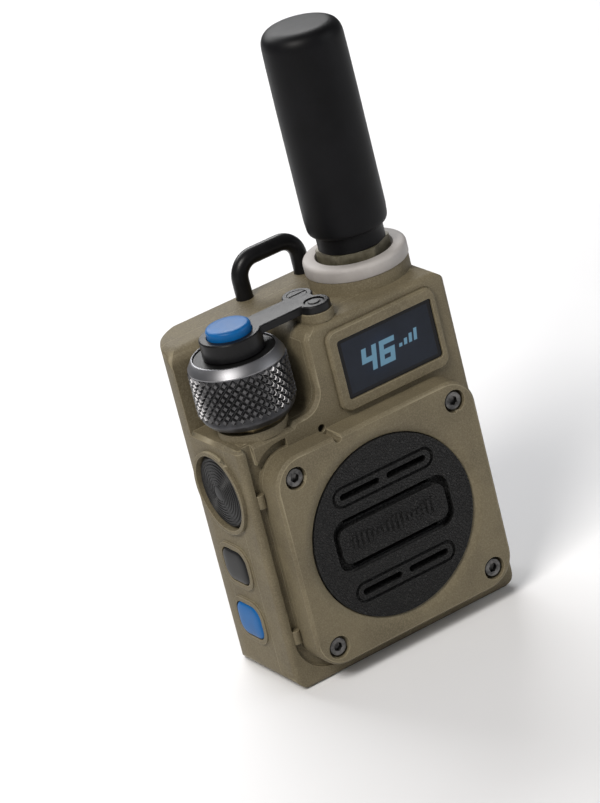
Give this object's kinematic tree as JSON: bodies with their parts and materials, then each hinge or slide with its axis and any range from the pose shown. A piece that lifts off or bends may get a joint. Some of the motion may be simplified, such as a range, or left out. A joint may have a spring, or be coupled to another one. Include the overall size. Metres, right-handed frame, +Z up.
{
  "type": "handheld push-to-talk radio",
  "caption": "Pocket push-to-talk radio: boxy olive case, proud square speaker cover, small screen, knurled knob with a button above it, stubby antenna, carry loop and side buttons.",
  "frame": {"origin": "centre of the case's flat bottom face", "axes": "+Z up along the case and antenna, -Y out of the front with the screen and speaker, +X to the right seen from the front"},
  "size_m": [0.0534, 0.0348, 0.1199],
  "materials": {
    "olive_case": "fine-grained olive drab moulded plastic",
    "black_grille": "leather-textured black rubber",
    "black_antenna": "soft matt black rubber",
    "grey_rubber": "light grey rubber",
    "black_rubber": "black seal rubber",
    "knob_metal": "gunmetal anodised, worn bright on the knurl",
    "black_parts": "satin black plastic",
    "blue_keys": "satin blue plastic",
    "screen_glass": "dark smoked screen",
    "screen_module": "dark display",
    "screw_steel": "blackened steel",
    "antenna_metal": "dull plated brass",
    "loop_steel": "satin black coated steel",
    "switch_parts": "moulded black plastic",
    "circuit_board": "green solder mask",
    "shield_steel": "tinned steel",
    "paper_cone": "pressed paper",
    "magnet_steel": "plated steel",
    "battery_wrap": "blue film wrap",
    "copper_wire": "copper"
  },
  "bodies": {
    "case": {"front_shell": "olive_case", "mid_frame": "olive_case", "rear_cover": "olive_case", "speaker_cover": "olive_case", "display_bezel": "olive_case", "groove_pegs": "olive_case", "bridge_pad": "olive_case", "speaker_grille": "black_grille", "antenna_cover": "black_antenna", "antenna_ring": "grey_rubber", "speaker_gasket": "black_rubber", "rear_gasket": "black_rubber", "window_seal": "black_rubber", "mic_seal": "black_rubber", "button_bridge": "black_parts", "sim_socket": "black_parts", "battery_plug": "black_parts", "display_window": "screen_glass", "display_module": "screen_module", "cover_screws": "screw_steel", "bridge_screws": "screw_steel", "case_screws": "screw_steel", "usb_flap_pin": "screw_steel", "antenna_nut": "antenna_metal", "antenna_connector": "antenna_metal", "encoder_nut": "antenna_metal", "lanyard_loop": "loop_steel", "encoder_body": "switch_parts", "side_switches": "switch_parts", "top_switch": "switch_parts", "microphone": "switch_parts", "main_board": "circuit_board", "side_board": "circuit_board", "rf_shield": "shield_steel", "radio_module": "shield_steel", "usb_socket": "shield_steel", "speaker_basket": "shield_steel", "speaker_cone": "paper_cone", "speaker_magnet": "magnet_steel", "battery": "battery_wrap", "antenna_element": "copper_wire"},
    "knob": {"volume_knob": "knob_metal", "knob_insert": "black_parts", "encoder_shaft": "screw_steel"},
    "push_to_talk": {"ptt_button": "black_parts"},
    "upper_key": {"side_key_upper": "black_parts"},
    "lower_key": {"side_key_lower": "blue_keys"},
    "button_cap": {"top_button": "blue_keys"},
    "port_flap": {"usb_flap": "olive_case"}
  },
  "joints": [
    {"name": "knob_turn", "type": "hinge", "parent": "case", "child": "knob", "pos_m": [-0.0177, -0.00775, 0.0613], "axis": [0, 0, 1], "continuous": true},
    {"name": "top_button_press", "type": "slide", "parent": "case", "child": "button_cap", "axis": [0, 0, -1], "range_m": [0, 0.0008], "stiffness_N_per_m": 600, "springref_m": -0.0015},
    {"name": "talk_press", "type": "slide", "parent": "case", "child": "push_to_talk", "axis": [1, 0, 0], "range_m": [0, 0.0007], "stiffness_N_per_m": 900, "springref_m": -0.0015},
    {"name": "upper_key_press", "type": "slide", "parent": "case", "child": "upper_key", "axis": [1, 0, 0], "range_m": [0, 0.0006], "stiffness_N_per_m": 900, "springref_m": -0.001},
    {"name": "lower_key_press", "type": "slide", "parent": "case", "child": "lower_key", "axis": [1, 0, 0], "range_m": [0, 0.0006], "stiffness_N_per_m": 900, "springref_m": -0.001},
    {"name": "port_flap_swing", "type": "hinge", "parent": "case", "child": "port_flap", "pos_m": [0.0251, 0.0011, 0.0179], "axis": [0, 1, 0], "range_deg": [0, 105]}
  ]
}
